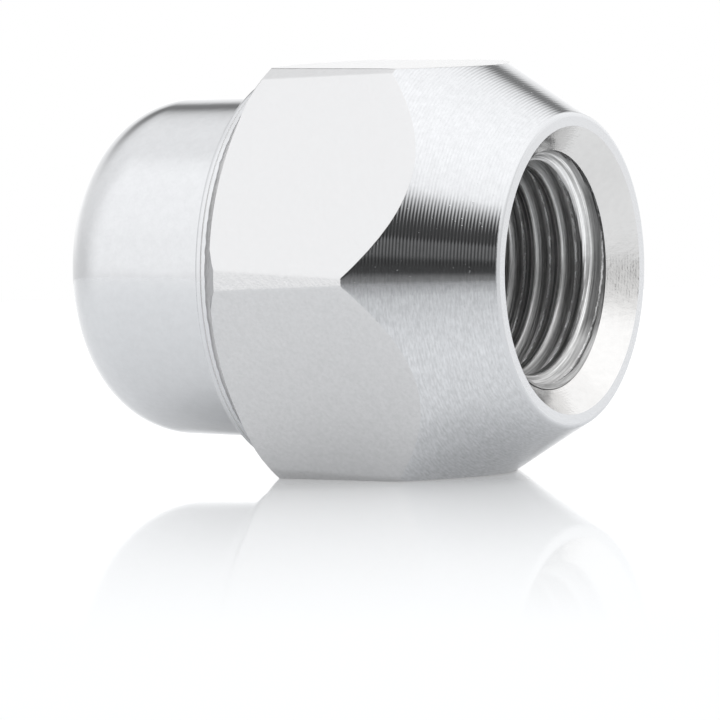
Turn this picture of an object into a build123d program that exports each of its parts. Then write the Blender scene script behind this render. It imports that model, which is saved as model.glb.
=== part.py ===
from build123d import *
import os
from math import asin, cos, degrees, radians, sqrt, tan

# Closed-end lug nut, lying on one flat of its hexagon. It is two pieces of steel:
# a forged and turned nut, and a pressed dome that is welded on its back face.
# The X axis is the thread's axis and points out of the open end, whose rim lies in the plane X = 0.
# Z points up. All lengths are in millimetres.

# Hexagon, and the flats that the forging leaves on its corners, which narrow towards the seat
across_flats = 21.0
nut_length = 15.7
corner_cut_at_back = 0.35
corner_cut_taper = 1.5

# Back of the hexagon: a chamfer that starts inside the flats, and a steeper break on the corners
chamfer_inset = 0.66
chamfer_angle = 30.0
corner_break_offset = 0.92
corner_break_angle = 50.0

# Open end: a flat rim round the countersink, and the conical seat behind it
rim_radius = 8.0
rim_width = 0.65
rim_edge_break = 0.2
seat_half_angle = 30.0

# Bore: the thread's crests and nominal size, the countersink and the lead-ins at both ends
thread_diameter = 12.0
thread_crest_diameter = 10.68
relief_clearance = 0.12
countersink_depth = 1.3
lead_in_length = 0.65

# Dome cap: its sheet, its flange on the nut's back face, and its dome
sheet_thickness = 0.8
flange_setback = 0.38
flange_width = 1.52
flange_edge_break = 0.25
root_bevel = 0.8
cap_height = 10.95
knuckle_radius = 4.2
crown_radius = 34.0
floor_bevel = 2.1


def cone_length(start_radius, end_radius, half_angle):
    """Length along the axis over which a cone of this half angle grows between two radii."""
    return (end_radius - start_radius) / tan(radians(half_angle))


# Nut: a turned blank, cut by the hexagon's flats and bored right through
sharp_corner_radius = across_flats / sqrt(3)
corner_flat_radius = sharp_corner_radius - corner_cut_at_back
chamfer_radius = across_flats / 2 - chamfer_inset
break_radius = across_flats / 2 + corner_break_offset
seat_end = -cone_length(rim_radius, sharp_corner_radius, seat_half_angle)
break_start = -nut_length + cone_length(chamfer_radius, break_radius, 90 - chamfer_angle)
break_end = break_start + cone_length(break_radius, sharp_corner_radius, 90 - corner_break_angle)

relief_radius = thread_diameter / 2 + relief_clearance
crest_radius = thread_crest_diameter / 2
thread_start = -countersink_depth - lead_in_length

with BuildPart() as nut_body:
    with BuildSketch(Plane.XZ) as turned_section:
        with BuildLine():
            Polyline(
                (0, 0),
                (0, rim_radius),
                (seat_end, sharp_corner_radius),
                (break_end, sharp_corner_radius),
                (break_start, break_radius),
                (-nut_length, chamfer_radius),
                (-nut_length, 0),
                close=True,
            )
        make_face()
        rim_corner = turned_section.vertices().group_by(Axis.X)[-1].sort_by(Axis.Y)[-1]
        chamfer(rim_corner, rim_edge_break)
    revolve(axis=Axis.X)

    # One flat faces down
    with BuildSketch(Plane.YZ):
        RegularPolygon(across_flats / 2, 6, major_radius=False)
    extrude(amount=-nut_length, mode=Mode.INTERSECT)

    # The corners are flattened, more at the back than at the seat
    with BuildSketch(Plane.YZ.offset(-nut_length)):
        RegularPolygon(corner_flat_radius, 6, major_radius=False, rotation=30)
    extrude(amount=nut_length, taper=-corner_cut_taper, mode=Mode.INTERSECT)

    # The straight wall of the bore stands for the crests of the thread
    with BuildSketch(Plane.XZ) as bore_section:
        with BuildLine():
            Polyline(
                (0, 0),
                (0, rim_radius - rim_width),
                (-countersink_depth, relief_radius),
                (thread_start, crest_radius),
                (-nut_length + lead_in_length, crest_radius),
                (-nut_length, relief_radius),
                (-nut_length, 0),
                close=True,
            )
        make_face()
    revolve(axis=Axis.X, mode=Mode.SUBTRACT)

nut_body.part.label = "nut_body"

# Cap: a shallow crown runs smoothly into the knuckle, the skirt and the flange
flange_radius = across_flats / 2 - flange_setback
skirt_radius = flange_radius - flange_width
flange_back = -nut_length - sheet_thickness
crown_end = -nut_length - cap_height
crown_angle = asin((skirt_radius - knuckle_radius) / (crown_radius - knuckle_radius))
knuckle_start = crown_end + crown_radius - (crown_radius - knuckle_radius) * cos(crown_angle)

# The hollow keeps the sheet's thickness at the skirt, and has a flat floor
hollow_radius = skirt_radius - sheet_thickness
hollow_floor = knuckle_start - knuckle_radius + sheet_thickness
hollow_mouth_radius = hollow_radius + root_bevel

with BuildPart() as dome_cap:
    with BuildSketch(Plane.XZ) as pressing_section:
        with BuildLine():
            crown = JernArc((crown_end, 0), (0, 1), crown_radius, -degrees(crown_angle))
            knuckle = JernArc(crown @ 1, crown % 1, knuckle_radius, degrees(crown_angle) - 90)
            Polyline(
                knuckle @ 1,
                (flange_back - root_bevel, skirt_radius),
                (flange_back, skirt_radius + root_bevel),
                (flange_back, flange_radius),
                (-nut_length, flange_radius),
                (-nut_length, 0),
                crown @ 0,
            )
        make_face()
        flange_rim = pressing_section.vertices().group_by(Axis.Y)[-1]
        chamfer(flange_rim.sort_by(Axis.X)[0], flange_edge_break)
    revolve(axis=Axis.X)

    with BuildSketch(Plane.XZ) as hollow_section:
        with BuildLine():
            Polyline(
                (-nut_length, 0),
                (-nut_length, hollow_mouth_radius),
                (-nut_length - root_bevel, hollow_radius),
                (hollow_floor, hollow_radius),
                (hollow_floor, 0),
                close=True,
            )
        make_face()
        floor_corner = hollow_section.vertices().group_by(Axis.X)[0].sort_by(Axis.Y)[-1]
        chamfer(floor_corner, floor_bevel)
    revolve(axis=Axis.X, mode=Mode.SUBTRACT)

dome_cap.part.label = "dome_cap"

os.makedirs("parts", exist_ok=True)
export_step(nut_body.part, "parts/nut_body.step")
export_step(dome_cap.part, "parts/dome_cap.step")
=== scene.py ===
from math import atan, cos, pi, radians, sin, tan

import bpy
import numpy as np
from mathutils import Matrix, Vector


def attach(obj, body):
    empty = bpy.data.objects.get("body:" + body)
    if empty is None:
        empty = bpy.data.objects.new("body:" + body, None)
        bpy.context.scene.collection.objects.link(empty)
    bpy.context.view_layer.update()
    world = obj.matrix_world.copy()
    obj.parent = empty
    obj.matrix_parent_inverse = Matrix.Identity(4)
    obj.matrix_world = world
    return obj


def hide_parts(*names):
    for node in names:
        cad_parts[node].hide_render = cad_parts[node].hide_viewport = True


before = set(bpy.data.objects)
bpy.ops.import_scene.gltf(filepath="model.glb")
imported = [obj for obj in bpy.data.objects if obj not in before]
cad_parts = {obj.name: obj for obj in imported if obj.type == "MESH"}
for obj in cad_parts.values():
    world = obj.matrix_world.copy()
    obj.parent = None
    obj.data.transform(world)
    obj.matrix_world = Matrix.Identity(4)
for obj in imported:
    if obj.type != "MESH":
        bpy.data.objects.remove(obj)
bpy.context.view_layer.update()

# The nut: a cold-forged steel blank with a turned conical seat, a countersunk and tapped bore and
# a chamfered back face, polished a little on its flats and plated with nickel and chrome.
# It lies on one flat. Lengths are in millimetres until the mesh is written in metres.
MILLIMETRE = 0.001
ACROSS_FLATS = 21.0
NUT_LENGTH = 15.7
CORNER_CUT_AT_BACK = 0.35
CORNER_CUT_TAPER = radians(1.5)
CORNER_BLEND = 0.02

RIM_RADIUS = 8.0
RIM_EDGE_ROUND = 0.3
SEAT_HALF_ANGLE = radians(30)
SEAT_EDGE_ROUND = 0.1
FLAT_EASING_WIDTH = 1.2
FLAT_EASING_DROP = 0.035

CHAMFER_RADIUS = 9.84
CHAMFER_ANGLE = radians(30)
BREAK_RADIUS = 11.42
BREAK_ANGLE = radians(50)

COUNTERSINK_MOUTH_RADIUS = 7.35
COUNTERSINK_DEPTH = 1.3
RELIEF_RADIUS = 6.12
LEAD_IN_START = -1.42
LEAD_IN_END = -2.2
LEAD_IN_TILT = 0.16
BACK_LEAD_IN_LENGTH = 0.6
THREAD_PITCH = 1.5
THREAD_CREST_RADIUS = 5.34
FIRST_CREST = -2.17

SIDES = 6
SECTOR = radians(60)
CORNER_COLUMNS = 28
CORNER_SPREAD = radians(4.2)
FLAT_COLUMNS = 14
RIM_ROWS = 3
RIM_EDGE_ROWS = 9
SEAT_ROWS = 16
SEAT_EDGE_ROWS = 6
FLAT_ROWS = 8
BREAK_ROWS = 2
CHAMFER_ROWS = 4
BACK_ROWS = 3
COUNTERSINK_ROWS = 5
TRIAL_STEPS = 5
MERGE_DISTANCE = 0.0002
SHARP_EDGE = radians(24)


def column_angles():
    """Angles round the axis, from +Y towards +Z: close at the six corners, wider over the flats."""
    corner = np.linspace(-CORNER_SPREAD, CORNER_SPREAD, CORNER_COLUMNS + 1)
    flat = np.linspace(CORNER_SPREAD, SECTOR - CORNER_SPREAD, FLAT_COLUMNS + 1)[1:-1]
    sector = np.concatenate([corner, flat])
    return (sector[None, :] + np.arange(SIDES)[:, None] * SECTOR).ravel()


def hexagon_radius(x, angle):
    """Distance from the axis to the hexagon's side: apothem over cosine on a flat, or the same for
    the flat on its corner, whichever is less. The corner's flat lies further out towards the seat,
    and the two blend where they differ by less than CORNER_BLEND."""
    from_corner = np.abs((angle + SECTOR / 2) % SECTOR - SECTOR / 2)
    on_flat = ACROSS_FLATS / 2 / np.cos(SECTOR / 2 - from_corner)
    corner_at_back = ACROSS_FLATS / 3 ** 0.5 - CORNER_CUT_AT_BACK
    corner_apothem = corner_at_back + (x + NUT_LENGTH) * tan(CORNER_CUT_TAPER)
    on_corner = corner_apothem / np.cos(from_corner)
    overlap = np.maximum(CORNER_BLEND - np.abs(on_flat - on_corner), 0)
    return np.minimum(on_flat, on_corner) - overlap ** 2 / (4 * CORNER_BLEND)


def guarded(count, guard=0.02):
    """Shares from 0 to 1 with one more close to each end, so that shading turns only at the edge."""
    return np.concatenate([[0], np.linspace(guard, 1 - guard, count), [1]])


def ring_points(x, radius, angle):
    """Points of a surface round the X axis: x, the radius times cosine, and the radius times sine."""
    x, radius, angle = np.broadcast_arrays(x, radius, angle)
    return np.stack([x, radius * np.cos(angle), radius * np.sin(angle)], axis=-1)


def ring_faces(rows, columns, row_shift=0):
    """Four-sided faces between neighbouring rows and columns. The last column joins the first one,
    row_shift rows on, which closes a helical grid."""
    row, column = np.meshgrid(np.arange(rows - 1), np.arange(columns), indexing="ij")
    last = column == columns - 1
    next_row = np.where(last, row + row_shift, row)
    next_column = np.where(last, 0, column + 1)
    faces = np.stack([row * columns + column, (row + 1) * columns + column,
                      (next_row + 1) * columns + next_column,
                      next_row * columns + next_column], axis=-1)
    inside = (next_row >= 0) & (next_row + 1 < rows)
    return faces[inside]


def build_piece(name, sheets, sharp_angle):
    """Joins the sheets (points in millimetres, faces, material number) and merges the points that
    they share. All sheets run the same way round, so their faces look outwards. They are shaded
    smooth except over edges sharper than the angle."""
    points, faces, finishes = [], [], []
    start = 0
    for sheet_points, sheet_faces, finish in sheets:
        flat_points = sheet_points.reshape(-1, 3)
        points.append(flat_points)
        faces.append(sheet_faces + start)
        finishes.append(np.full(len(sheet_faces), finish))
        start += len(flat_points)
    points = np.concatenate(points)
    faces = np.concatenate(faces)
    finishes = np.concatenate(finishes)
    keys = np.round(points / MERGE_DISTANCE).astype(np.int64)
    _, first, same = np.unique(keys, axis=0, return_index=True, return_inverse=True)
    points = points[first] * MILLIMETRE
    faces = same.reshape(-1)[faces]
    # A face whose points have merged keeps its different corners, and goes with fewer than three
    kept = np.ones(faces.shape, dtype=bool)
    for corner in range(4):
        kept[:, corner] = faces[:, corner] != faces[:, corner - 1]
    kept[:, 2] &= faces[:, 2] != faces[:, 0]
    corners = kept.sum(axis=1)
    whole = corners >= 3
    faces, kept, corners, finishes = faces[whole], kept[whole], corners[whole], finishes[whole]

    mesh = bpy.data.meshes.new(name)
    mesh.vertices.add(len(points))
    mesh.vertices.foreach_set("co", points.ravel())
    mesh.loops.add(int(corners.sum()))
    mesh.loops.foreach_set("vertex_index", faces[kept].astype(np.int32))
    mesh.polygons.add(len(faces))
    loop_start = np.concatenate([[0], np.cumsum(corners)[:-1]])
    mesh.polygons.foreach_set("loop_start", loop_start.astype(np.int32))
    mesh.polygons.foreach_set("material_index", finishes.astype(np.int32))
    mesh.update(calc_edges=True)
    mesh.validate()
    mesh.shade_smooth()
    mesh.set_sharp_from_angle(angle=sharp_angle)
    piece = bpy.data.objects.new(name, mesh)
    bpy.context.scene.collection.objects.link(piece)
    return piece


angle = column_angles()
columns = len(angle)

# Open end: the flat rim, its rounded outer edge and the conical seat up to the hexagon
edge_centre = RIM_RADIUS - RIM_EDGE_ROUND * tan(SEAT_HALF_ANGLE)
rim_share = guarded(RIM_ROWS)[:, None]
rim_radius = COUNTERSINK_MOUTH_RADIUS + (edge_centre - COUNTERSINK_MOUTH_RADIUS) * rim_share
rim_face = ring_points(0.0, rim_radius, angle)

turn = np.linspace(0, pi / 2 - SEAT_HALF_ANGLE, RIM_EDGE_ROWS)[:, None]
rim_edge_x = RIM_EDGE_ROUND * (np.cos(turn) - 1)
rim_edge = ring_points(rim_edge_x, edge_centre + RIM_EDGE_ROUND * np.sin(turn), angle)

# The seat ends where its cone meets the hexagon, which a few steps of trial find
front_x = np.full((1, columns), -0.5 * NUT_LENGTH)
for _ in range(TRIAL_STEPS):
    front_radius = hexagon_radius(front_x, angle)
    front_x = (RIM_RADIUS - front_radius) / tan(SEAT_HALF_ANGLE)
seat_start_radius = edge_centre + RIM_EDGE_ROUND * cos(SEAT_HALF_ANGLE)
edge_tangent = SEAT_EDGE_ROUND * tan(SEAT_HALF_ANGLE / 2)
seat_end_radius = front_radius - FLAT_EASING_DROP - edge_tangent * sin(SEAT_HALF_ANGLE)
seat_share = guarded(SEAT_ROWS)[:, None]
seat_radius = seat_start_radius + (seat_end_radius - seat_start_radius) * seat_share
seat_x = -(seat_radius - RIM_RADIUS) / tan(SEAT_HALF_ANGLE)
seat = ring_points(seat_x, seat_radius, angle)

# The seat rolls over a small rounding on to the flat, which eases off a little towards that edge
roll = SEAT_HALF_ANGLE * (1 - np.linspace(0, 1, SEAT_EDGE_ROWS)[:, None])
round_x = seat_x[-1:] - SEAT_EDGE_ROUND * (sin(SEAT_HALF_ANGLE) - np.sin(roll))
round_radius = seat_end_radius + SEAT_EDGE_ROUND * (np.cos(roll) - cos(SEAT_HALF_ANGLE))
seat_edge = ring_points(round_x, round_radius, angle)

# The flats, and the flats on their corners, up to the break and the chamfer at the back
back_x = np.full((1, columns), -NUT_LENGTH)
break_x = -NUT_LENGTH + (BREAK_RADIUS - CHAMFER_RADIUS) * tan(CHAMFER_ANGLE)
for _ in range(TRIAL_STEPS):
    back_radius = hexagon_radius(back_x, angle)
    on_break = break_x + (back_radius - BREAK_RADIUS) * tan(BREAK_ANGLE)
    on_chamfer = -NUT_LENGTH + (back_radius - CHAMFER_RADIUS) * tan(CHAMFER_ANGLE)
    back_x = np.where(back_radius > BREAK_RADIUS, on_break, on_chamfer)
easing_share = np.array([0, 0.04, 0.12, 0.25, 0.4, 0.6, 0.8, 1])[:, None]
easing_x = round_x[-1:] - FLAT_EASING_WIDTH * easing_share
plain_x = easing_x[-1:] + (back_x - easing_x[-1:]) * guarded(FLAT_ROWS)[1:, None]
flat_x = np.concatenate([easing_x, plain_x])
from_edge = np.clip((round_x[-1:] - flat_x) / FLAT_EASING_WIDTH, 0, 1)
flat_radius = hexagon_radius(flat_x, angle) - FLAT_EASING_DROP * (1 - from_edge) ** 2
flats = ring_points(flat_x, flat_radius, angle)
flats[0] = seat_edge[-1]

# Back: the break on the corners, the chamfer and the flat face round the bore
break_end = np.minimum(back_radius, BREAK_RADIUS)
break_row = back_radius + (break_end - back_radius) * guarded(BREAK_ROWS)[:, None]
break_row_x = back_x + (break_row - back_radius) * tan(BREAK_ANGLE)
corner_break = ring_points(break_row_x, break_row, angle)
corner_break[0] = flats[-1]
chamfer_row = break_end + (CHAMFER_RADIUS - break_end) * guarded(CHAMFER_ROWS)[:, None]
chamfer_x = -NUT_LENGTH + (chamfer_row - CHAMFER_RADIUS) * tan(CHAMFER_ANGLE)
back_chamfer = ring_points(chamfer_x, chamfer_row, angle)
back_row = CHAMFER_RADIUS + (RELIEF_RADIUS - CHAMFER_RADIUS) * guarded(BACK_ROWS)[:, None]
back_face = ring_points(-NUT_LENGTH, back_row, angle)

# Bore: one turn of the thread as distances from the middle of a crest, and the radii there
HALF_TURN = [(0, 5.34), (0.09, 5.344), (0.17, 5.357), (0.235, 5.384), (0.285, 5.43), (0.42, 5.645),
             (0.555, 5.85), (0.63, 5.942), (0.685, 5.985), (0.75, 6.0)]
half_turn = np.array(HALF_TURN)
along = np.concatenate([half_turn[:, 0], THREAD_PITCH - half_turn[-2:0:-1, 0]])
groove = np.concatenate([half_turn[:, 1], half_turn[-2:0:-1, 1]])
turn_rows = len(along)
turns = int(NUT_LENGTH / THREAD_PITCH) + 3
thread_along = (np.arange(turns)[:, None] * THREAD_PITCH + along[None, :]).ravel()[:, None]
thread_groove = np.tile(groove, turns)[:, None]
mouth_x = -COUNTERSINK_DEPTH
helix_x = FIRST_CREST + 2 * THREAD_PITCH - thread_along + THREAD_PITCH * angle / (2 * pi)
helix_x = np.clip(helix_x, -NUT_LENGTH, mouth_x)
# The lead-in cones at both ends, of which the front one is cut a little deeper at the top
LEAD_X = [-NUT_LENGTH, -NUT_LENGTH + BACK_LEAD_IN_LENGTH, LEAD_IN_END, LEAD_IN_START, mouth_x]
LEAD_RADIUS = [RELIEF_RADIUS, THREAD_CREST_RADIUS, THREAD_CREST_RADIUS, RELIEF_RADIUS, RELIEF_RADIUS]
tilt = LEAD_IN_TILT * np.sin(angle) * (helix_x > -NUT_LENGTH / 2)
lead_in = np.interp(helix_x + tilt, LEAD_X, LEAD_RADIUS)
thread = ring_points(helix_x, np.maximum(thread_groove, lead_in), angle)

countersink_share = guarded(COUNTERSINK_ROWS, 0.03)[:, None]
countersink_x = mouth_x * (1 - countersink_share)
countersink_radius = RELIEF_RADIUS + (COUNTERSINK_MOUTH_RADIUS - RELIEF_RADIUS) * countersink_share
countersink = ring_points(countersink_x, countersink_radius, angle)

HEXAGON, SEAT, RIM, COUNTERSINK, BORE, BREAK = range(6)
nut_sheets = [(rim_face, RIM, 0), (rim_edge, RIM, 0), (seat, SEAT, 0), (seat_edge, HEXAGON, 0),
              (flats, HEXAGON, 0), (corner_break, BREAK, 0), (back_chamfer, HEXAGON, 0),
              (back_face, HEXAGON, 0), (thread[::-1], BORE, turn_rows),
              (countersink, COUNTERSINK, 0)]
nut = build_piece("chromed_nut", [(points, ring_faces(len(points), columns, shift), finish)
                                  for points, finish, shift in nut_sheets], SHARP_EDGE)


def add_node(tree, kind, **inputs):
    """Adds a shader node, and sets or links each input that is named, with _ for a space."""
    node = tree.nodes.new(kind)
    for name, value in inputs.items():
        socket = node.inputs[name.replace("_", " ")]
        if isinstance(value, bpy.types.NodeSocket):
            tree.links.new(value, socket)
        else:
            socket.default_value = value
    return node


def calculate(tree, operation, *values, clamp=False):
    """One Math node: the operation on up to three numbers or sockets."""
    node = tree.nodes.new("ShaderNodeMath")
    node.operation = operation
    node.use_clamp = clamp
    for socket, value in zip(node.inputs, values):
        if isinstance(value, bpy.types.NodeSocket):
            tree.links.new(value, socket)
        else:
            socket.default_value = value
    return node.outputs[0]


def new_chrome(name, base, roughness):
    """A metal Principled shader with its plain values set on its own sockets."""
    material = bpy.data.materials.new(name)
    material.use_nodes = True
    shader = material.node_tree.nodes["Principled BSDF"]
    shader.inputs["Base Color"].default_value = (*base, 1)
    shader.inputs["Metallic"].default_value = 1
    shader.inputs["Roughness"].default_value = roughness
    return material, material.node_tree, shader


def place(tree, turn=(0, 0, 0), stretch=(1, 1, 1)):
    """Object coordinates in millimetres, turned about the origin and then stretched."""
    coordinates = tree.nodes.new("ShaderNodeTexCoord")
    turned = add_node(tree, "ShaderNodeMapping", Vector=coordinates.outputs["Object"], Rotation=turn)
    stretched = add_node(tree, "ShaderNodeMapping", Vector=turned.outputs[0],
                         Scale=tuple(s / MILLIMETRE for s in stretch))
    return stretched.outputs[0]


def noise(tree, vector, scale, detail=2.0, roughness=0.5):
    """Fractal noise with this many cells to a millimetre."""
    node = add_node(tree, "ShaderNodeTexNoise", Vector=vector, Scale=scale, Detail=detail,
                    Roughness=roughness)
    return node.outputs["Fac"]


def soft_edge(tree, value, start, end):
    """Rises smoothly from 0 at start to 1 at end, which may be the lower one."""
    node = add_node(tree, "ShaderNodeMapRange", Value=value, From_Min=start, From_Max=end)
    node.interpolation_type = "SMOOTHSTEP"
    return node.outputs[0]


def blend(tree, share, under, over):
    """The value under, changed to the value over by this share."""
    if isinstance(under, float) and isinstance(over, float):
        return calculate(tree, "MULTIPLY_ADD", share, over - under, under)
    step = calculate(tree, "MULTIPLY", calculate(tree, "SUBTRACT", over, under), share)
    return calculate(tree, "ADD", under, step)


def relief(tree, height, depth, normal=None):
    """Bump whose height of 1 stands for this depth in millimetres."""
    node = add_node(tree, "ShaderNodeBump", Height=height, Distance=depth * MILLIMETRE, Strength=1.0)
    if normal is not None:
        tree.links.new(normal, node.inputs["Normal"])
    return node.outputs[0]


def read_table(tree, place_in_table, table):
    """The brightness that a table of places and brightnesses gives, in straight runs from row to row.
    The ramp's colours stay below 1, because they are stored as shares of RAMP_TOP."""
    lowest, highest = table[0][0], table[-1][0]
    share = add_node(tree, "ShaderNodeMapRange", Value=place_in_table, From_Min=lowest,
                     From_Max=highest)
    ramp = add_node(tree, "ShaderNodeValToRGB", Fac=share.outputs[0])
    stops = ramp.color_ramp.elements
    while len(stops) < len(table):
        stops.new(0.5)
    for stop, (row, brightness) in zip(stops, table):
        stop.position = (row - lowest) / (highest - lowest)
        stop.color = (*[brightness / RAMP_TOP] * 3, 1)
    return calculate(tree, "MULTIPLY", ramp.outputs["Color"], RAMP_TOP)


def tinted(tree, colour, factor):
    """The colour, made lighter or darker by the factor."""
    node = tree.nodes.new("ShaderNodeVectorMath")
    node.operation = "SCALE"
    node.inputs[0].default_value = colour
    tree.links.new(factor, node.inputs["Scale"])
    return node.outputs[0]


def tool_lines(tree, spacing):
    """Height of a turned face: a sine wave along the axis with one crest for each turn of the tool,
    whose feed drifts a little. A slow noise lets the marks fade and come back on the way round."""
    split = add_node(tree, "ShaderNodeSeparateXYZ", Vector=place(tree))
    drift = add_node(tree, "ShaderNodeTexNoise", Scale=FEED_DRIFT_SCALE, Detail=1.0)
    drift.noise_dimensions = "1D"
    tree.links.new(split.outputs["X"], drift.inputs["W"])
    turns = calculate(tree, "MULTIPLY_ADD", drift.outputs["Fac"], FEED_DRIFT,
                      calculate(tree, "DIVIDE", split.outputs["X"], spacing))
    wave = calculate(tree, "SINE", calculate(tree, "MULTIPLY", turns, 2 * pi))
    fading = blend(tree, noise(tree, place(tree), scale=0.5), 0.2, 0.7)
    return calculate(tree, "MULTIPLY", wave, fading)


RAMP_TOP = 2.0
CONTRAST = (0.3, 0.7)
CHROME = (0.655, 0.664, 0.68)
FLAT_TONE = (0.655, 0.657, 0.665)
COUNTERSINK_TONE = (0.705, 0.7, 0.695)
# BREAK_TONE is darker as painted shade of the seam between the nut and the cap
BREAK_TONE = (0.44, 0.442, 0.45)
MARKS_ABOVE, MARKS_BELOW = 0.6, 2.4
SPECK_SHARE = 0.8
MARKS_MIDDLE = 0.9
MARKS_SHADE = 0.04
STREAKS_ABOVE, STREAKS_BELOW = 0.07, 0.19
RING_SHADE = 0.04
SEAT_FEED = 0.1485
COUNTERSINK_FEED = 0.11
FEED_DRIFT = 0.4
FEED_DRIFT_SCALE = 0.8

# Flats: forged, brushed by hand in the diagonal and plated, so they mirror softly. The lower ones
# show more scratches and specks, and painted shade makes the colour darker towards the bottom and
# painted light makes it lighter towards the top.
hexagon_chrome, tree, shader = new_chrome("brushed_flat_chrome", FLAT_TONE, roughness=0.2)
diagonal = place(tree, turn=(0, radians(-45), 0), stretch=(0.8, 1, 2.0))
scratches = noise(tree, diagonal, scale=2.0, detail=4.0, roughness=0.65)
grain = noise(tree, place(tree), scale=5.0, roughness=0.6)
swell = noise(tree, place(tree), scale=0.35, detail=1.0)
split = add_node(tree, "ShaderNodeSeparateXYZ", Vector=place(tree))
lower = soft_edge(tree, split.outputs["Z"], 1.0, -1.0)
marks_by_height = blend(tree, lower, MARKS_ABOVE, MARKS_BELOW)
bumps = relief(tree, swell, depth=0.03)
bumps = relief(tree, calculate(tree, "MULTIPLY", grain, marks_by_height), depth=0.008, normal=bumps)
bumps = relief(tree, calculate(tree, "MULTIPLY", scratches, marks_by_height), depth=0.02, normal=bumps)
tree.links.new(bumps, shader.inputs["Normal"])
speckled = noise(tree, place(tree), scale=5.0, detail=4.0, roughness=0.75)
speckled = soft_edge(tree, speckled, *CONTRAST)
marks = calculate(tree, "MULTIPLY_ADD", speckled, SPECK_SHARE, scratches)
marks = calculate(tree, "SUBTRACT", marks, MARKS_MIDDLE)
marks = calculate(tree, "MULTIPLY", marks, marks_by_height)
# Painted shade and painted light: besides the marks, the colour is a little darker towards the bottom
# and lighter towards the top
tone_factor = calculate(tree, "MULTIPLY_ADD", marks, -MARKS_SHADE, blend(tree, lower, 1.012, 0.995))
tree.links.new(tinted(tree, FLAT_TONE, tone_factor), shader.inputs["Base Color"])

# Corner breaks at the back: left as the forging die made them, so they are rougher and duller; their
# darker colour is painted shade of the seam between the nut and the cap
break_chrome, tree, shader = new_chrome("forged_break_chrome", BREAK_TONE, roughness=0.3)
scale_marks = noise(tree, place(tree), scale=3.0, detail=4.0, roughness=0.7)
tone_factor = blend(tree, scale_marks, 0.8, 1.2)
tree.links.new(tinted(tree, BREAK_TONE, tone_factor), shader.inputs["Base Color"])
tree.links.new(relief(tree, scale_marks, depth=0.03), shader.inputs["Normal"])

# Seat: turned, with a ring for each turn of the tool, a few pits, and fine streaks along the rings
seat_chrome, tree, shader = new_chrome("turned_seat_chrome", CHROME, roughness=0.07)
fine = noise(tree, place(tree, stretch=(8, 1, 1)), scale=2.0, detail=3.0, roughness=0.6)
pits = soft_edge(tree, noise(tree, place(tree), scale=6.0), 0.7, 0.78)
lines = tool_lines(tree, SEAT_FEED)
bumps = relief(tree, fine, depth=0.0008)
bumps = relief(tree, pits, depth=0.003, normal=bumps)
tree.links.new(relief(tree, lines, depth=0.0038, normal=bumps), shader.inputs["Normal"])
cloudy = noise(tree, place(tree), scale=2.4, detail=4.0, roughness=0.7)
cloudy = soft_edge(tree, cloudy, 0.25, 0.75)
streaks = noise(tree, place(tree, stretch=(2.4, 0.5, 0.5)), scale=5.0, detail=3.0, roughness=0.7)
streaks = calculate(tree, "SUBTRACT", soft_edge(tree, streaks, *CONTRAST), 0.5)
split = add_node(tree, "ShaderNodeSeparateXYZ", Vector=place(tree))
lower = soft_edge(tree, split.outputs["Z"], 1.5, -1.0)
streaks = calculate(tree, "MULTIPLY", streaks, blend(tree, lower, STREAKS_ABOVE, STREAKS_BELOW))
tone_factor = calculate(tree, "ADD", blend(tree, cloudy, 0.955, 1.035), streaks)
tone_factor = calculate(tree, "MULTIPLY_ADD", lines, RING_SHADE, tone_factor)
tree.links.new(tinted(tree, CHROME, tone_factor), shader.inputs["Base Color"])

# Rim: faced off square, and rubbed on its outer edge
rim_chrome, tree, shader = new_chrome("faced_rim_chrome", CHROME, roughness=0.22)
rubbing = noise(tree, place(tree), scale=4.0, detail=3.0, roughness=0.6)
tree.links.new(relief(tree, rubbing, depth=0.008), shader.inputs["Normal"])

# Countersink: cut with a form tool, which leaves faint rings
countersink_chrome, tree, shader = new_chrome("countersunk_chrome", COUNTERSINK_TONE, roughness=0.14)
pitted = noise(tree, place(tree), scale=2.5, detail=4.0, roughness=0.7)
bumps = relief(tree, pitted, depth=0.018)
tone_factor = blend(tree, pitted, 0.93, 1.07)
tree.links.new(tinted(tree, COUNTERSINK_TONE, tone_factor), shader.inputs["Base Color"])
lines = tool_lines(tree, COUNTERSINK_FEED)
tree.links.new(relief(tree, lines, depth=0.0012, normal=bumps), shader.inputs["Normal"])

# Thread: the plating hardly reaches it, so it stays dull and grey. The tap has scored it along its
# turns, has burnished the crests, which also carry painted highlights, and has left a torn line at
# the grooves' bottom, along which a glint is painted. The lead-in is bright with painted highlight
# rings. The first table gives the metal's brightness at some distances in millimetres from the
# middle of a crest, and the second one along the axis from the first crest to the countersink.
# The peaks at a crest's middle and on its rounding near 0.2 mm are painted highlights on the burnished
# crest
THREAD_TONES = [(0, 0.9), (0.03, 0.6), (0.08, 0.42), (0.13, 0.55), (0.17, 0.75), (0.21, 0.75),
                (0.25, 0.5), (0.29, 0.34), (0.33, 0.28), (0.42, 0.28), (0.5, 0.24), (0.6, 0.34),
                (0.68, 0.45), (0.75, 0.62), (1.2, 0.62), (1.33, 0.45), (1.44, 0.5), (1.47, 0.9),
                (1.5, 0.9)]
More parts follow.
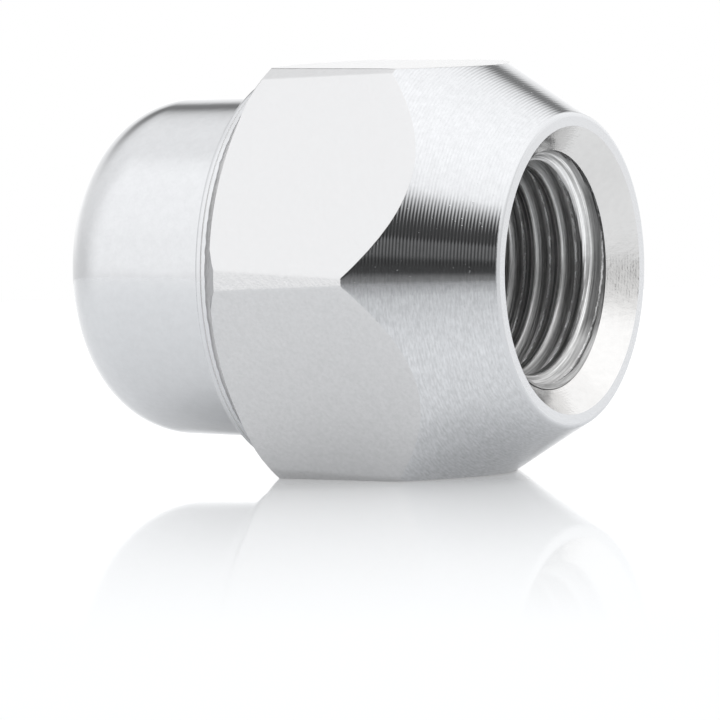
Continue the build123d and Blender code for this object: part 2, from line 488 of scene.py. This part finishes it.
# The peaks in this table are painted highlight rings on the lead-in
LEAD_IN_TONES = [(-2.95, 0.5), (-2.34, 0.45), (-2.26, 0.6), (-2.2, 0.85), (-2.12, 0.9), (-2.06, 0.5),
                 (-1.99, 0.48), (-1.96, 0.8), (-1.9, 0.75), (-1.86, 0.35), (-1.8, 0.18), (-1.6, 0.13),
                 (-1.5, 0.2), (-1.3, 0.24)]
TORN_LINE_START = 0.62
TORN_LINE_WANDER = 0.16
TORN_LINE_EDGE = (0.06, 0.01)
TORN_LINE_GLEAM = 0.55
GROOVE_START, GROOVE_END = (0.5, 0.7), (1.34, 1.22)
GROOVE_METALLIC = 0.55
FIRST_TURN_EDGE = (-2.6, -2.4)
FIRST_TURN_SLANT = -0.064
LEAD_IN_SLANT = -LEAD_IN_TILT / THREAD_CREST_RADIUS
LEAD_IN_TOP, LEAD_IN_BOTTOM = (2.2, 5.0), (-1.8, -4.8)
LEAD_IN_TOP_TONE, LEAD_IN_BOTTOM_TONE = 0.4, 0.6
LEAD_IN_BOTTOM_SHADE = 0.74
SCORE_CIRCLE = 5.0
SCORE_DRIFT = 0.35
bore_steel, tree, shader = new_chrome("thin_plated_thread", CHROME, roughness=0.32)
split = add_node(tree, "ShaderNodeSeparateXYZ", Vector=place(tree))
along_axis, height = split.outputs["X"], split.outputs["Z"]
round_axis = calculate(tree, "ARCTAN2", height, split.outputs["Y"])
round_axis = calculate(tree, "DIVIDE", round_axis, 2 * pi)
turns = calculate(tree, "ADD", along_axis, -FIRST_CREST)
turns = calculate(tree, "DIVIDE", turns, THREAD_PITCH)
turns = calculate(tree, "SUBTRACT", turns, round_axis)
from_crest = calculate(tree, "MULTIPLY", calculate(tree, "FRACT", turns), THREAD_PITCH)

# Scores along the turns: noise on a circle that is gone round once for each pitch, so it has no seam
turn_angle = calculate(tree, "MULTIPLY", turns, 2 * pi)
circle_cosine = calculate(tree, "MULTIPLY", calculate(tree, "COSINE", turn_angle), SCORE_CIRCLE)
circle_sine = calculate(tree, "MULTIPLY", calculate(tree, "SINE", turn_angle), SCORE_CIRCLE)
drift = calculate(tree, "MULTIPLY_ADD", split.outputs["Y"], SCORE_DRIFT, along_axis)
along_turn = add_node(tree, "ShaderNodeCombineXYZ", X=circle_cosine, Y=circle_sine, Z=drift)
scores = add_node(tree, "ShaderNodeTexNoise", Detail=3.0, Roughness=0.6, Scale=1.0)
scores.noise_dimensions = "4D"
tree.links.new(along_turn.outputs[0], scores.inputs["Vector"])
tree.links.new(calculate(tree, "MULTIPLY", height, SCORE_DRIFT), scores.inputs["W"])
scores = soft_edge(tree, scores.outputs["Fac"], *CONTRAST)
speckle = noise(tree, place(tree), scale=3.0, detail=3.0, roughness=0.7)

# Torn line, along which a glint is painted: near the bottom of the groove, wandering a little, and
# broken into lengths
torn_place = calculate(tree, "MULTIPLY_ADD", speckle, TORN_LINE_WANDER, TORN_LINE_START)
from_torn = calculate(tree, "ABSOLUTE", calculate(tree, "SUBTRACT", from_crest, torn_place))
broken = noise(tree, place(tree), scale=1.1, detail=3.0, roughness=0.7)
broken = soft_edge(tree, broken, 0.42, 0.56)
torn_line_glint = calculate(tree, "MULTIPLY", soft_edge(tree, from_torn, *TORN_LINE_EDGE), broken)

# Lead-in, from the first turn on: its painted highlight rings follow the tilt of the cone, and painted
# light makes it brighter at the top and at the bottom, where painted shade then darkens it a little
first_turn = calculate(tree, "MULTIPLY_ADD", height, FIRST_TURN_SLANT, along_axis)
first_turn = soft_edge(tree, first_turn, *FIRST_TURN_EDGE)
lead_in_place = calculate(tree, "MULTIPLY_ADD", height, LEAD_IN_SLANT, along_axis)
at_top = soft_edge(tree, height, *LEAD_IN_TOP)
at_bottom = soft_edge(tree, height, *LEAD_IN_BOTTOM)
# Painted light: the lead-in is brighter at the top and at the bottom
bright_ends = calculate(tree, "MULTIPLY", at_bottom, LEAD_IN_BOTTOM_TONE)
bright_ends = calculate(tree, "MULTIPLY_ADD", at_top, LEAD_IN_TOP_TONE, bright_ends)
lead_in_tone = read_table(tree, lead_in_place, LEAD_IN_TONES)
lead_in_tone = calculate(tree, "MAXIMUM", lead_in_tone, bright_ends)
bottom_shade = blend(tree, at_bottom, 1.0, LEAD_IN_BOTTOM_SHADE)
lead_in_tone = calculate(tree, "MULTIPLY", lead_in_tone, bottom_shade)
tone = blend(tree, first_turn, read_table(tree, from_crest, THREAD_TONES), lead_in_tone)
tone = calculate(tree, "MULTIPLY", tone, blend(tree, scores, 0.62, 1.3))
tone = calculate(tree, "MULTIPLY", tone, blend(tree, speckle, 0.85, 1.15))
# The torn line's painted glint is added to the tone
tone = calculate(tree, "MULTIPLY_ADD", torn_line_glint, TORN_LINE_GLEAM, tone)
tree.links.new(tone, shader.inputs["Base Color"])
in_groove = calculate(tree, "MULTIPLY", soft_edge(tree, from_crest, *GROOVE_START),
                      soft_edge(tree, from_crest, *GROOVE_END))
tree.links.new(blend(tree, in_groove, 1.0, GROOVE_METALLIC), shader.inputs["Metallic"])
bumps = relief(tree, speckle, depth=0.01)
tree.links.new(relief(tree, scores, depth=0.006, normal=bumps), shader.inputs["Normal"])

for finish in (hexagon_chrome, seat_chrome, rim_chrome, countersink_chrome, bore_steel,
               break_chrome):
    nut.data.materials.append(finish)
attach(nut, "root")
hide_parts("nut_body")

# The cap: a dome pressed from 0.8 mm sheet steel, with an outward flange that is resistance-welded
# on the nut's back face. The weld leaves a ragged front edge all round. It is plated with the nut.
SHEET = 0.8
FLANGE_RADIUS = 10.12
FLANGE_BACK = -16.44
FLANGE_EDGE_ROUND = 0.25
SKIRT_RADIUS = 8.8
KNUCKLE_START_RADIUS = 8.7
ROOT_ROUND = 0.8
CROWN_END = -26.6
CROWN_RADIUS = 34.0
KNUCKLE_RADIUS = 4.3
FLANGE_FRONT = -15.8
BURNT_LINE = [(-16.07, 10.12), (-16.05, 10.1), (-16.01, 10.1), (-15.99, 10.12)]
BURNT_LINE_END = -15.96
WELD_BEAD = [(-15.79, 10.09), (-15.76, 10.04), (-15.72, 10.01), (-15.67, 9.99), (-15.62, 9.96),
             (-15.58, 9.92), (-15.6, 9.87)]
WELD_RAGGEDNESS = 0.022
WELD_WAVES = (16, 120)
WAVE_COUNT = 24
RAGGED_RISE = (FLANGE_FRONT - 0.14, FLANGE_FRONT - 0.02)
RAGGED_FALL = (-15.68, FLANGE_FRONT + 0.03)
RAGGED_DEPTH = 0.16
RAGGED_OUTWARD = 0.3
RAGGED_OUTWARD_SHIFT = 40
CAP_COLUMNS = 288
CROWN_ROWS = 14
KNUCKLE_ROWS = 26
SKIRT_ROWS = 6
ROOT_ROWS = 10
FLANGE_EDGE_ROWS = 7
MOUTH_ROWS = 8
WALL_ROWS = 4
INNER_KNUCKLE_ROWS = 18
INNER_CROWN_ROWS = 8
SHARP_BEND = radians(30)
WELD_TONE = (0.69, 0.69, 0.695)
INSIDE_TONE = (0.34, 0.34, 0.35)


def arc(centre_x, centre_radius, radius, start, end, count):
    """Points of a circle in the profile's plane, by the angle of its normal from the outward radius
    towards -X: the centre less the radius times the sine, and plus the radius times the cosine."""
    normal = np.linspace(start, end, count)
    x = centre_x - radius * np.sin(normal)
    return np.stack([x, centre_radius + radius * np.cos(normal)], axis=-1)


def line(start, end, count, guard=0.03):
    """Points of a straight run, with one more close to each end."""
    share = guarded(count, guard)[:, None]
    return np.array(start) * (1 - share) + np.array(end) * share


def smooth_step(value, start, end):
    """Rises from 0 at start to 1 at end as three times the square less twice the cube."""
    t = np.clip((value - start) / (end - start), 0, 1)
    return t * t * (3 - 2 * t)


crown_angle = np.arcsin((KNUCKLE_START_RADIUS - KNUCKLE_RADIUS) / (CROWN_RADIUS - KNUCKLE_RADIUS))
crown_centre = CROWN_END + CROWN_RADIUS
knuckle_centre = KNUCKLE_START_RADIUS - KNUCKLE_RADIUS
knuckle_x = crown_centre - (CROWN_RADIUS - KNUCKLE_RADIUS) * cos(crown_angle)

# Outside, from the middle of the crown to the weld
crown_edge = pi / 2 - crown_angle
crown = arc(crown_centre, 0, CROWN_RADIUS, pi / 2, crown_edge, CROWN_ROWS)
knuckle = arc(knuckle_x, knuckle_centre, KNUCKLE_RADIUS, crown_edge, 0, KNUCKLE_ROWS)
skirt_end = FLANGE_BACK - ROOT_ROUND
skirt = line((knuckle_x, KNUCKLE_START_RADIUS), (skirt_end, SKIRT_RADIUS), SKIRT_ROWS)
root_centre = SKIRT_RADIUS + ROOT_ROUND
root = arc(skirt_end, root_centre, ROOT_ROUND, pi, 3 * pi / 2, ROOT_ROWS)
edge_x = FLANGE_BACK + FLANGE_EDGE_ROUND
edge_radius = FLANGE_RADIUS - FLANGE_EDGE_ROUND
flange_face = line((FLANGE_BACK, root_centre), (FLANGE_BACK, edge_radius), 2)
flange_edge = arc(edge_x, edge_radius, FLANGE_EDGE_ROUND, pi / 2, 0, FLANGE_EDGE_ROWS)
rim_front = line((BURNT_LINE_END, FLANGE_RADIUS), (FLANGE_FRONT, FLANGE_RADIUS), 2)
flange_rim = np.concatenate([[(edge_x, FLANGE_RADIUS)], BURNT_LINE, rim_front])
weld_bead = np.array(WELD_BEAD)
weld_face = line((-NUT_LENGTH, CHAMFER_RADIUS), (-NUT_LENGTH, SKIRT_RADIUS), 2)

# Inside: the sheet's own thickness in from the outside
mouth = arc(FLANGE_BACK, SKIRT_RADIUS, ROOT_ROUND, -pi / 2, -pi, MOUTH_ROWS)
wall = line(mouth[-1], (knuckle_x, KNUCKLE_START_RADIUS - SHEET), WALL_ROWS)
inner_knuckle = arc(knuckle_x, knuckle_centre, KNUCKLE_RADIUS - SHEET, 0, crown_edge,
                    INNER_KNUCKLE_ROWS)
inner_crown = arc(crown_centre, 0, CROWN_RADIUS - SHEET, crown_edge, pi / 2, INNER_CROWN_ROWS)
inside = np.concatenate([weld_face, mouth, wall, inner_knuckle, inner_crown])

profile_parts = [crown, knuckle, skirt, root, flange_face, flange_edge, flange_rim, weld_bead,
                 inside]
cap_profile = np.concatenate(profile_parts)
cap_angle = np.arange(CAP_COLUMNS) * 2 * pi / CAP_COLUMNS
cap_x = np.repeat(cap_profile[:, :1], CAP_COLUMNS, axis=1)
cap_radius = np.repeat(cap_profile[:, 1:], CAP_COLUMNS, axis=1)
cap_radius[0] = cap_radius[-1] = 0

# Ragged weld edge: sums of sine waves with fixed phases, strongest at the flange's front edge
draw = np.random.default_rng(11)
waves_round = draw.integers(*WELD_WAVES, WAVE_COUNT)[:, None]
wave_phase = draw.uniform(0, 2 * pi, WAVE_COUNT)[:, None]
ragged = np.sin(waves_round * cap_angle + wave_phase).sum(axis=0) / WAVE_COUNT ** 0.5
near_front = smooth_step(cap_x, *RAGGED_RISE) * (cap_radius > FLANGE_RADIUS - RAGGED_DEPTH)
near_front *= smooth_step(cap_x, *RAGGED_FALL)
cap_x = cap_x + WELD_RAGGEDNESS * ragged * near_front
ragged_outward = RAGGED_OUTWARD * WELD_RAGGEDNESS * np.roll(ragged, RAGGED_OUTWARD_SHIFT)
cap_radius = cap_radius + ragged_outward * near_front
cap_points = ring_points(cap_x, cap_radius, cap_angle)

# The finish changes at the weld, at the burnt line round the flange and at the mouth of the hollow
row_counts = [len(part) for part in profile_parts]
rim_start, bead_start, inside_start = (sum(row_counts[:parts]) for parts in (6, 7, 8))
burnt_start, burnt_end = rim_start + 1, rim_start + len(BURNT_LINE)
PRESSING, WELD, INSIDE = range(3)
finish_rows = [(0, burnt_start, PRESSING), (burnt_start, burnt_end, WELD),
               (burnt_end, bead_start - 1, PRESSING), (bead_start - 1, inside_start, WELD),
               (inside_start, len(cap_profile) - 1, INSIDE)]
cap_sheets = [(cap_points[start:end + 1][::-1], finish) for start, end, finish in finish_rows]
cap = build_piece("pressed_cap", [(points, ring_faces(len(points), CAP_COLUMNS), finish)
                                  for points, finish in cap_sheets], SHARP_BEND)

# Pressing: smooth sheet, so it mirrors sharply over a slow swell and a faint grain
cap_chrome, tree, shader = new_chrome("pressed_cap_chrome", CHROME, roughness=0.06)
swell = noise(tree, place(tree), scale=0.5)
grain = noise(tree, place(tree), scale=3.0, detail=3.0, roughness=0.6)
bumps = relief(tree, swell, depth=0.01)
tree.links.new(relief(tree, grain, depth=0.0012, normal=bumps), shader.inputs["Normal"])
clouded = noise(tree, place(tree), scale=2.2, detail=4.0, roughness=0.75)
tone_factor = blend(tree, soft_edge(tree, clouded, *CONTRAST), 0.98, 1.024)
tree.links.new(tinted(tree, CHROME, tone_factor), shader.inputs["Base Color"])

# Weld bead and the burnt line beside it: rough, with the plating over it
weld_chrome, tree, shader = new_chrome("weld_bead_chrome", WELD_TONE, roughness=0.6)
spatter = noise(tree, place(tree), scale=6.0, detail=3.0, roughness=0.6)
tree.links.new(relief(tree, spatter, depth=0.03), shader.inputs["Normal"])

# Inside: bare steel, with marks along the axis where the punch has drawn it
inside_steel, tree, shader = new_chrome("bare_inside_steel", INSIDE_TONE, roughness=0.5)
drawn = noise(tree, place(tree, stretch=(0.3, 1, 1)), scale=2.0, detail=4.0, roughness=0.6)
tree.links.new(blend(tree, drawn, 0.38, 0.62), shader.inputs["Roughness"])
tree.links.new(relief(tree, drawn, depth=0.02), shader.inputs["Normal"])
for finish in (cap_chrome, weld_chrome, inside_steel):
    cap.data.materials.append(finish)
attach(cap, "root")
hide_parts("dome_cap")

# The floor: a sheet of white gloss plastic, a little larger than the picture takes in. In the
# picture its gloss fades towards the camera, so that the nut's reflection runs out into white.
FLOOR_RADIUS = 0.16
FLOOR_Z = -ACROSS_FLATS / 2 * MILLIMETRE
FLOOR_WHITE = (0.86, 0.88, 0.9, 1)
FLOOR_CENTRE = (-0.009, 0.0)
FADE_DIRECTION = (0.48, -0.877, 0.0)
FADE_START = 0.002
FADE_END = 0.088
FADE_POWER = 1.35
GLOSS = 0.95
SHADOW_SHARE = 0.5
FLOOR_GLOW = 0.5
GLOW_BEHIND_NUT = 0.68
BEHIND_EDGE = (0.0, -0.012)
FOOTPRINT = (0.0125, 0.008)
FOOTPRINT_CENTRE = -0.0105
FOOTPRINT_EDGE = (0.6, 1.4)
GLOW_AT_NUT = 0.62
FLOOR_COLUMNS = 96

floor_angle = np.arange(FLOOR_COLUMNS) * 2 * pi / FLOOR_COLUMNS
floor_radii = np.array([0.0, 0.01, 0.02, 0.04, 0.08, 0.12, FLOOR_RADIUS])[:, None]
floor_points = np.stack([FLOOR_CENTRE[0] + floor_radii * np.cos(floor_angle),
                         FLOOR_CENTRE[1] + floor_radii * np.sin(floor_angle),
                         np.full((len(floor_radii), FLOOR_COLUMNS), FLOOR_Z)], axis=-1)
floor_faces = ring_faces(len(floor_radii), FLOOR_COLUMNS)
floor = build_piece("display_floor", [(floor_points / MILLIMETRE, floor_faces, 0)], SHARP_BEND)

floor_gloss = bpy.data.materials.new("white_gloss_plastic")
floor_gloss.use_nodes = True
tree = floor_gloss.node_tree
tree.nodes.clear()
coordinates = tree.nodes.new("ShaderNodeTexCoord")
forward = add_node(tree, "ShaderNodeVectorMath")
forward.operation = "DOT_PRODUCT"
tree.links.new(coordinates.outputs["Object"], forward.inputs[0])
forward.inputs[1].default_value = FADE_DIRECTION
from_nut = calculate(tree, "ADD", forward.outputs["Value"], -FLOOR_CENTRE[0] * FADE_DIRECTION[0])
fade = calculate(tree, "SUBTRACT", from_nut, FADE_START)
fade = calculate(tree, "DIVIDE", fade, FADE_END - FADE_START, clamp=True)
fade = calculate(tree, "POWER", calculate(tree, "SUBTRACT", 1.0, fade), FADE_POWER)
light_path = tree.nodes.new("ShaderNodeLightPath")
camera_ray = light_path.outputs["Is Camera Ray"]
fade = blend(tree, camera_ray, 1.0, fade)
fresnel = add_node(tree, "ShaderNodeFresnel", IOR=1.45)
gloss_share = calculate(tree, "MULTIPLY", fresnel.outputs[0], fade)
gloss_share = calculate(tree, "MULTIPLY", gloss_share, GLOSS)
white = add_node(tree, "ShaderNodeBsdfDiffuse", Color=FLOOR_WHITE)
shaded_colour = tuple(SHADOW_SHARE * c for c in FLOOR_WHITE[:3]) + (1,)
shaded_white = add_node(tree, "ShaderNodeBsdfDiffuse", Color=shaded_colour)

# The floor's white is lifted by a glow. Behind the nut the camera sees more of it, which is painted
# light over the nut's shade there, and the metal mirrors less of it round the nut's own footprint,
# which is a painted shadow
beside = add_node(tree, "ShaderNodeMapping", Vector=coordinates.outputs["Object"],
                  Location=(-FOOTPRINT_CENTRE / FOOTPRINT[0], 0, 0),
                  Scale=(1 / FOOTPRINT[0], 1 / FOOTPRINT[1], 0))
from_footprint = add_node(tree, "ShaderNodeVectorMath")
from_footprint.operation = "LENGTH"
tree.links.new(beside.outputs[0], from_footprint.inputs[0])
outside = soft_edge(tree, from_footprint.outputs["Value"], *FOOTPRINT_EDGE)
# Less glow round the footprint, as the metal mirrors it: a painted shadow
mirrored_glow = blend(tree, outside, FLOOR_GLOW * GLOW_AT_NUT, FLOOR_GLOW)
behind = soft_edge(tree, from_nut, *BEHIND_EDGE)
# More glow behind the nut, as the camera sees it: painted light over the nut's shade
pictured_glow = blend(tree, behind, FLOOR_GLOW, GLOW_BEHIND_NUT)
glow = add_node(tree, "ShaderNodeEmission", Color=(1, 1, 1, 1),
                Strength=blend(tree, camera_ray, mirrored_glow, pictured_glow))
lifted = add_node(tree, "ShaderNodeAddShader")
tree.links.new(shaded_white.outputs[0], lifted.inputs[0])
tree.links.new(glow.outputs[0], lifted.inputs[1])

# The glow is only seen, by the camera, in metal or through glass: it casts no light
seen = calculate(tree, "MAXIMUM", camera_ray, light_path.outputs["Is Glossy Ray"])
seen = calculate(tree, "MAXIMUM", seen, light_path.outputs["Is Transmission Ray"])
body = add_node(tree, "ShaderNodeMixShader", Fac=seen)
tree.links.new(white.outputs[0], body.inputs[1])
tree.links.new(lifted.outputs[0], body.inputs[2])
gloss = add_node(tree, "ShaderNodeBsdfGlossy", Color=(1, 1, 1, 1), Roughness=0.03)
surface = add_node(tree, "ShaderNodeMixShader", Fac=gloss_share)
tree.links.new(body.outputs[0], surface.inputs[1])
tree.links.new(gloss.outputs[0], surface.inputs[2])
output = tree.nodes.new("ShaderNodeOutputMaterial")
tree.links.new(surface.outputs[0], output.inputs["Surface"])
floor.data.materials.append(floor_gloss)

# The light: a white studio. A broad soft box hangs overhead, and its light falls off towards the
# walls. A dark gap with one paler strip opens towards the camera, and another gap lies between the
# backdrop and the soft box. Each table gives the light at some heights, in degrees over the horizon.
FRONT_LEFT = [(-10, 1.0), (-4, 1.1), (0, 1.2), (5, 1.23), (20, 1.25), (27, 1.28), (47, 1.305),
              (80, 1.4)]
RIGHT = [(-10, 0.95), (0, 0.88), (6, 0.9), (13, 0.97), (20, 1.05), (28, 1.28), (35, 1.4), (80, 1.4)]
LEFT = [(-10, 0.84), (3, 0.88), (12, 0.98), (40, 1.08), (58, 1.13), (70, 1.3), (80, 1.4)]
BACK = [(-10, 0.8), (-2, 0.98), (1, 1.2), (6, 1.22), (11, 1.12), (14, 1.04), (17, 1.0), (20, 0.85),
        (22, 0.65), (25, 0.36), (27, 0.27), (31, 0.26), (34, 0.42), (37, 0.68), (40, 0.85), (43, 0.95),
        (46, 1.03), (50, 1.08), (56, 1.14), (62, 1.21), (67, 1.27), (80, 1.4)]
CAMERA_SIDE = [(-10, 0.5), (-1, 0.2), (1, 0.07), (8, 0.065), (9.5, 0.14), (16.5, 0.15), (18, 0.065),
               (30, 0.065), (36, 0.09), (40, 0.3), (44, 0.85), (48, 1.1), (54, 1.235), (60, 1.32),
               (80, 1.4)]
# Where each zone's light starts and is full, in degrees aside of its middle
RIGHT_MIDDLE, RIGHT_EDGE = 92, (48, 34)
LEFT_MIDDLE, LEFT_EDGE = -118, (62, 26)
BACK_MIDDLE, BACK_RIGHT_EDGE, BACK_LEFT_EDGE = -160, (62, 18), (-24, -12)
GAP_LEFT_EDGE, GAP_RIGHT_EDGE = (-8, 3), (59, 50)
# The gap's right end leans inwards as it rises. The paler strip in it lies between two heights, and
# brightens to the right by its gain for each degree from its middle, between the least and the most.
GAP_SLANT, GAP_SLANTED_EDGE = 1.05, (91, 61)
STRIP_TOP, STRIP_FOOT = (24, 18), (5, 8)
STRIP_MIDDLE, STRIP_GAIN, STRIP_LEAST, STRIP_MOST = 31.5, 0.07, 0.45, 1.6

world = bpy.data.worlds.new("white_studio")
bpy.context.scene.world = world
world.use_nodes = True
tree = world.node_tree
tree.nodes.clear()
coordinates = tree.nodes.new("ShaderNodeTexCoord")
split = add_node(tree, "ShaderNodeSeparateXYZ", Vector=coordinates.outputs["Generated"])
to_degrees = 180 / pi
elevation = calculate(tree, "MULTIPLY", calculate(tree, "ARCSINE", split.outputs["Z"]), to_degrees)


def bearing(tree, split, centre):
    """Degrees round from the centre, which is counted from the front, -Y, and rises towards +X."""
    turn = radians(centre)
    ahead = calculate(tree, "ADD", calculate(tree, "MULTIPLY", split.outputs["X"], sin(turn)),
                      calculate(tree, "MULTIPLY", split.outputs["Y"], -cos(turn)))
    aside = calculate(tree, "ADD", calculate(tree, "MULTIPLY", split.outputs["X"], cos(turn)),
                      calculate(tree, "MULTIPLY", split.outputs["Y"], sin(turn)))
    return calculate(tree, "MULTIPLY", calculate(tree, "ARCTAN2", aside, ahead), to_degrees)


light = read_table(tree, elevation, FRONT_LEFT)
for middle, edge, heights in ((RIGHT_MIDDLE, RIGHT_EDGE, RIGHT), (LEFT_MIDDLE, LEFT_EDGE, LEFT)):
    aside = calculate(tree, "ABSOLUTE", bearing(tree, split, middle))
    light = blend(tree, soft_edge(tree, aside, *edge), light, read_table(tree, elevation, heights))
from_back = bearing(tree, split, BACK_MIDDLE)
to_back = calculate(tree, "MULTIPLY", soft_edge(tree, from_back, *BACK_RIGHT_EDGE),
                    soft_edge(tree, from_back, *BACK_LEFT_EDGE))
light = blend(tree, to_back, light, read_table(tree, elevation, BACK))

side = bearing(tree, split, 0)
slanted = calculate(tree, "MULTIPLY_ADD", elevation, GAP_SLANT, side)
to_camera = calculate(tree, "MULTIPLY", soft_edge(tree, side, *GAP_LEFT_EDGE),
                      soft_edge(tree, side, *GAP_RIGHT_EDGE))
to_camera = calculate(tree, "MULTIPLY", to_camera, soft_edge(tree, slanted, *GAP_SLANTED_EDGE))
on_strip = calculate(tree, "MULTIPLY", soft_edge(tree, elevation, *STRIP_TOP),
                     soft_edge(tree, elevation, *STRIP_FOOT))
from_middle = calculate(tree, "ADD", side, -STRIP_MIDDLE)
uneven = calculate(tree, "MULTIPLY_ADD", from_middle, STRIP_GAIN, 1.0)
uneven = calculate(tree, "MAXIMUM", uneven, STRIP_LEAST)
uneven = calculate(tree, "MINIMUM", uneven, STRIP_MOST)
gap_light = calculate(tree, "MULTIPLY", read_table(tree, elevation, CAMERA_SIDE),
                      blend(tree, on_strip, 1.0, uneven))
light = blend(tree, to_camera, light, gap_light)
studio = add_node(tree, "ShaderNodeBackground", Color=(1, 1, 1, 1), Strength=light)
plain_white = add_node(tree, "ShaderNodeBackground", Color=(1, 1, 1, 1), Strength=1.0)
light_path = tree.nodes.new("ShaderNodeLightPath")
mixed = add_node(tree, "ShaderNodeMixShader", Fac=light_path.outputs["Is Camera Ray"])
tree.links.new(studio.outputs[0], mixed.inputs[1])
tree.links.new(plain_white.outputs[0], mixed.inputs[2])
output = tree.nodes.new("ShaderNodeOutputWorld")
tree.links.new(mixed.outputs[0], output.inputs["Surface"])

# The camera: a long lens half a metre away and a little above the floor, which looks at the nut
# from its open end's side. It is turned a little, so that its aim lies off the picture's middle.
AZIMUTH = radians(28.716)
ELEVATION = radians(3.163)
ROLL = radians(-1.081)
DISTANCE = 0.5
AIM = Vector((-0.009, 0.0, 0.0))
PICTURE = 720
FOCAL_PIXELS = 9744
AIM_PIXEL = (417.7, 268.5)

back = Vector((sin(AZIMUTH) * cos(ELEVATION), -cos(AZIMUTH) * cos(ELEVATION), sin(ELEVATION)))
level_right = Vector((0, 0, 1)).cross(back).normalized()
level_up = back.cross(level_right)
right = level_right * cos(ROLL) + level_up * sin(ROLL)
up = level_up * cos(ROLL) - level_right * sin(ROLL)
aside = atan((AIM_PIXEL[0] - PICTURE / 2) / FOCAL_PIXELS)
lower = atan((AIM_PIXEL[1] - PICTURE / 2) / FOCAL_PIXELS)
right, ahead = right * cos(aside) - back * sin(aside), -right * sin(aside) - back * cos(aside)
up, ahead = up * cos(lower) - ahead * sin(lower), up * sin(lower) + ahead * cos(lower)
camera_data = bpy.data.cameras.new("studio_camera")
camera_data.sensor_width = 36
camera_data.lens = FOCAL_PIXELS / PICTURE * camera_data.sensor_width
camera = bpy.data.objects.new("studio_camera", camera_data)
bpy.context.scene.collection.objects.link(camera)
turned = Matrix((right, up, -ahead)).transposed().to_4x4()
camera.matrix_world = Matrix.Translation(AIM + back * DISTANCE) @ turned
bpy.context.scene.camera = camera
bpy.context.scene.view_settings.view_transform = "Standard"
